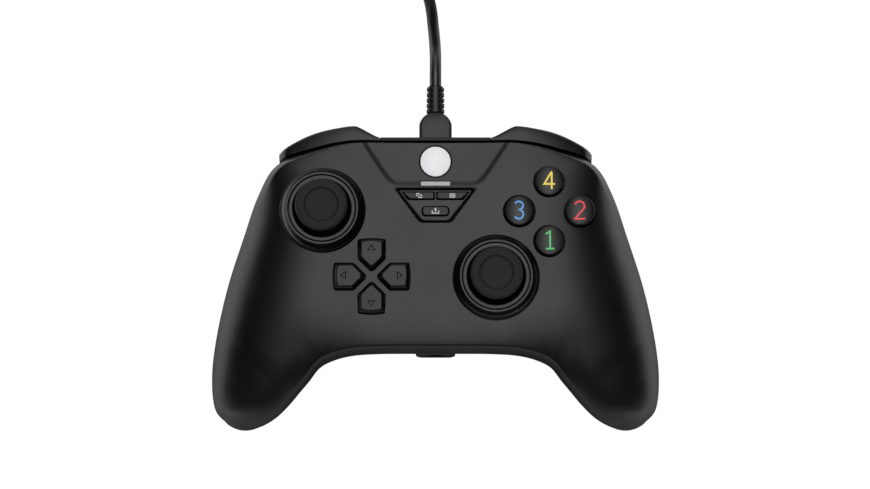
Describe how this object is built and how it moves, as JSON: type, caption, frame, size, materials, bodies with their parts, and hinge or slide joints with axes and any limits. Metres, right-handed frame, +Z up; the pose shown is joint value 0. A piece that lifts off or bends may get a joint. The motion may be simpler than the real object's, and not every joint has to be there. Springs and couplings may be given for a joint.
{
  "type": "gamepad controller",
  "caption": "Wired gamepad with tilting thumbsticks, split direction keys, round face buttons, bumpers and triggers on a moulded grip housing, with a coiled cable and plug.",
  "frame": {"origin": "on the table under the middle of the controller's box, cable left out", "axes": "+X to the player's right, +Y away from the player towards the cable, +Z up out of the face"},
  "size_m": [0.1544, 0.2385, 0.0519],
  "materials": {
    "shell_plastic": "fine-grained satin moulding",
    "trim_plastic": "smooth satin moulding",
    "key_plastic": "smooth satin moulding",
    "ring_plastic": "polished low-friction plastic",
    "stem_plastic": "polished dark plastic",
    "cap_rubber": "matte soft rubber",
    "button_gloss": "clear gloss over dark",
    "lens_white": "milky translucent plastic",
    "gimbal_nylon": "unpainted nylon",
    "sheet_steel": "plated steel",
    "weight_iron": "sintered metal",
    "board_resin": "solder mask",
    "switch_plastic": "moulded plastic",
    "pad_silicone": "matte silicone",
    "cord_rubber": "satin jacket",
    "plug_plastic": "satin overmould"
  },
  "bodies": {
    "housing": {"front_shell": "shell_plastic", "rear_shell": "shell_plastic", "top_bridge": "trim_plastic", "left_trigger_bracket": "trim_plastic", "right_trigger_bracket": "trim_plastic", "centre_panel": "trim_plastic", "left_stick_collar": "trim_plastic", "right_stick_collar": "trim_plastic", "left_stick_ring": "ring_plastic", "right_stick_ring": "ring_plastic", "status_light_pipe": "lens_white", "left_stick_module": "sheet_steel", "right_stick_module": "sheet_steel", "usb_port": "sheet_steel", "left_rumble_motor": "sheet_steel", "right_rumble_motor": "sheet_steel", "trigger_pins": "sheet_steel", "trigger_springs": "sheet_steel", "case_screws": "sheet_steel", "main_board": "board_resin", "tact_switches": "switch_plastic", "headset_jack": "switch_plastic", "face_button_pad": "pad_silicone", "dpad_pad": "pad_silicone", "cable_strain_relief": "cord_rubber", "cable_lead": "cord_rubber", "cable_coil": "cord_rubber", "cable_tie": "cord_rubber", "cable_plug": "plug_plastic", "computer_plug": "plug_plastic"},
    "left_yoke": {"left_stick_yoke": "gimbal_nylon"},
    "left_rocker": {"left_stick_rocker": "gimbal_nylon"},
    "left_stick": {"left_stick_stem": "stem_plastic", "left_stick_cap": "cap_rubber"},
    "right_yoke": {"right_stick_yoke": "gimbal_nylon"},
    "right_rocker": {"right_stick_rocker": "gimbal_nylon"},
    "right_stick": {"right_stick_stem": "stem_plastic", "right_stick_cap": "cap_rubber"},
    "face_button_top": {"face_button_top": "button_gloss"},
    "face_button_left": {"face_button_left": "button_gloss"},
    "face_button_right": {"face_button_right": "button_gloss"},
    "face_button_bottom": {"face_button_bottom": "button_gloss"},
    "dpad_up_key": {"dpad_up_key": "key_plastic"},
    "dpad_down_key": {"dpad_down_key": "key_plastic"},
    "dpad_left_key": {"dpad_left_key": "key_plastic"},
    "dpad_right_key": {"dpad_right_key": "key_plastic"},
    "home_button": {"home_button": "lens_white"},
    "view_button": {"view_button": "key_plastic"},
    "menu_button": {"menu_button": "key_plastic"},
    "share_button": {"share_button": "key_plastic"},
    "left_bumper": {"left_bumper": "trim_plastic"},
    "left_trigger": {"left_trigger": "trim_plastic"},
    "left_rumble_weight": {"left_rumble_weight": "weight_iron"},
    "right_bumper": {"right_bumper": "trim_plastic"},
    "right_trigger": {"right_trigger": "trim_plastic"},
    "right_rumble_weight": {"right_rumble_weight": "weight_iron"}
  },
  "joints": [
    {"name": "left_stick_tilt_forward", "type": "hinge", "parent": "housing", "child": "left_yoke", "pos_m": [-0.0386, 0.0209, 0.0355], "axis": [-1, 0, 0], "range_deg": [-16, 16], "stiffness_Nm_per_rad": 0.05},
    {"name": "left_stick_tilt_sideways", "type": "hinge", "parent": "left_yoke", "child": "left_rocker", "pos_m": [-0.0386, 0.0209, 0.0355], "axis": [0, 1, 0], "range_deg": [-16, 16], "stiffness_Nm_per_rad": 0.05},
    {"name": "left_stick_click", "type": "slide", "parent": "left_rocker", "child": "left_stick", "axis": [0, 0, -1], "range_m": [0, 0.0006], "stiffness_N_per_m": 900, "springref_m": -0.001},
    {"name": "right_stick_tilt_forward", "type": "hinge", "parent": "housing", "child": "right_yoke", "pos_m": [0.0206, -0.0024, 0.0355], "axis": [-1, 0, 0], "range_deg": [-16, 16], "stiffness_Nm_per_rad": 0.05},
    {"name": "right_stick_tilt_sideways", "type": "hinge", "parent": "right_yoke", "child": "right_rocker", "pos_m": [0.0206, -0.0024, 0.0355], "axis": [0, 1, 0], "range_deg": [-16, 16], "stiffness_Nm_per_rad": 0.05},
    {"name": "right_stick_click", "type": "slide", "parent": "right_rocker", "child": "right_stick", "axis": [0, 0, -1], "range_m": [0, 0.0006], "stiffness_N_per_m": 900, "springref_m": -0.001},
    {"name": "face_button_top_press", "type": "slide", "parent": "housing", "child": "face_button_top", "axis": [0, 0, -1], "range_m": [0, 0.0012], "stiffness_N_per_m": 500, "springref_m": -0.0008},
    {"name": "face_button_left_press", "type": "slide", "parent": "housing", "child": "face_button_left", "axis": [0, 0, -1], "range_m": [0, 0.0012], "stiffness_N_per_m": 500, "springref_m": -0.0008},
    {"name": "face_button_right_press", "type": "slide", "parent": "housing", "child": "face_button_right", "axis": [0, 0, -1], "range_m": [0, 0.0012], "stiffness_N_per_m": 500, "springref_m": -0.0008},
    {"name": "face_button_bottom_press", "type": "slide", "parent": "housing", "child": "face_button_bottom", "axis": [0, 0, -1], "range_m": [0, 0.0012], "stiffness_N_per_m": 500, "springref_m": -0.0008},
    {"name": "dpad_up_key_press", "type": "slide", "parent": "housing", "child": "dpad_up_key", "axis": [0, 0, -1], "range_m": [0, 0.001], "stiffness_N_per_m": 500, "springref_m": -0.0008},
    {"name": "dpad_down_key_press", "type": "slide", "parent": "housing", "child": "dpad_down_key", "axis": [0, 0, -1], "range_m": [0, 0.001], "stiffness_N_per_m": 500, "springref_m": -0.0008},
    {"name": "dpad_left_key_press", "type": "slide", "parent": "housing", "child": "dpad_left_key", "axis": [0, 0, -1], "range_m": [0, 0.001], "stiffness_N_per_m": 500, "springref_m": -0.0008},
    {"name": "dpad_right_key_press", "type": "slide", "parent": "housing", "child": "dpad_right_key", "axis": [0, 0, -1], "range_m": [0, 0.001], "stiffness_N_per_m": 500, "springref_m": -0.0008},
    {"name": "home_button_press", "type": "slide", "parent": "housing", "child": "home_button", "axis": [0, 0, -1], "range_m": [0, 0.0005], "stiffness_N_per_m": 700, "springref_m": -0.0008},
    {"name": "view_button_press", "type": "slide", "parent": "housing", "child": "view_button", "axis": [0, 0, -1], "range_m": [0, 0.0005], "stiffness_N_per_m": 700, "springref_m": -0.0008},
    {"name": "menu_button_press", "type": "slide", "parent": "housing", "child": "menu_button", "axis": [0, 0, -1], "range_m": [0, 0.0005], "stiffness_N_per_m": 700, "springref_m": -0.0008},
    {"name": "share_button_press", "type": "slide", "parent": "housing", "child": "share_button", "axis": [0, 0, -1], "range_m": [0, 0.0005], "stiffness_N_per_m": 700, "springref_m": -0.0008},
    {"name": "left_bumper_press", "type": "hinge", "parent": "housing", "child": "left_bumper", "pos_m": [-0.022, 0.0395, 0.0326], "axis": [0, 0, 1], "range_deg": [0, 1], "stiffness_Nm_per_rad": 2, "springref_deg": -1.72},
    {"name": "left_trigger_pull", "type": "hinge", "parent": "housing", "child": "left_trigger", "pos_m": [-0.0403, 0.0365, 0.0235], "axis": [-1, 0, 0], "range_deg": [0, 18], "stiffness_Nm_per_rad": 0.1, "springref_deg": -5.73},
    {"name": "left_rumble_weight_spin", "type": "hinge", "parent": "housing", "child": "left_rumble_weight", "pos_m": [-0.0575, -0.0062, 0.019], "axis": [0, 1, 0], "continuous": true},
    {"name": "right_bumper_press", "type": "hinge", "parent": "housing", "child": "right_bumper", "pos_m": [0.022, 0.0395, 0.0326], "axis": [0, 0, -1], "range_deg": [0, 1], "stiffness_Nm_per_rad": 2, "springref_deg": -1.72},
    {"name": "right_trigger_pull", "type": "hinge", "parent": "housing", "child": "right_trigger", "pos_m": [0.0403, 0.0365, 0.0235], "axis": [-1, 0, 0], "range_deg": [0, 18], "stiffness_Nm_per_rad": 0.1, "springref_deg": -5.73},
    {"name": "right_rumble_weight_spin", "type": "hinge", "parent": "housing", "child": "right_rumble_weight", "pos_m": [0.0575, -0.0062, 0.019], "axis": [0, 1, 0], "continuous": true}
  ]
}
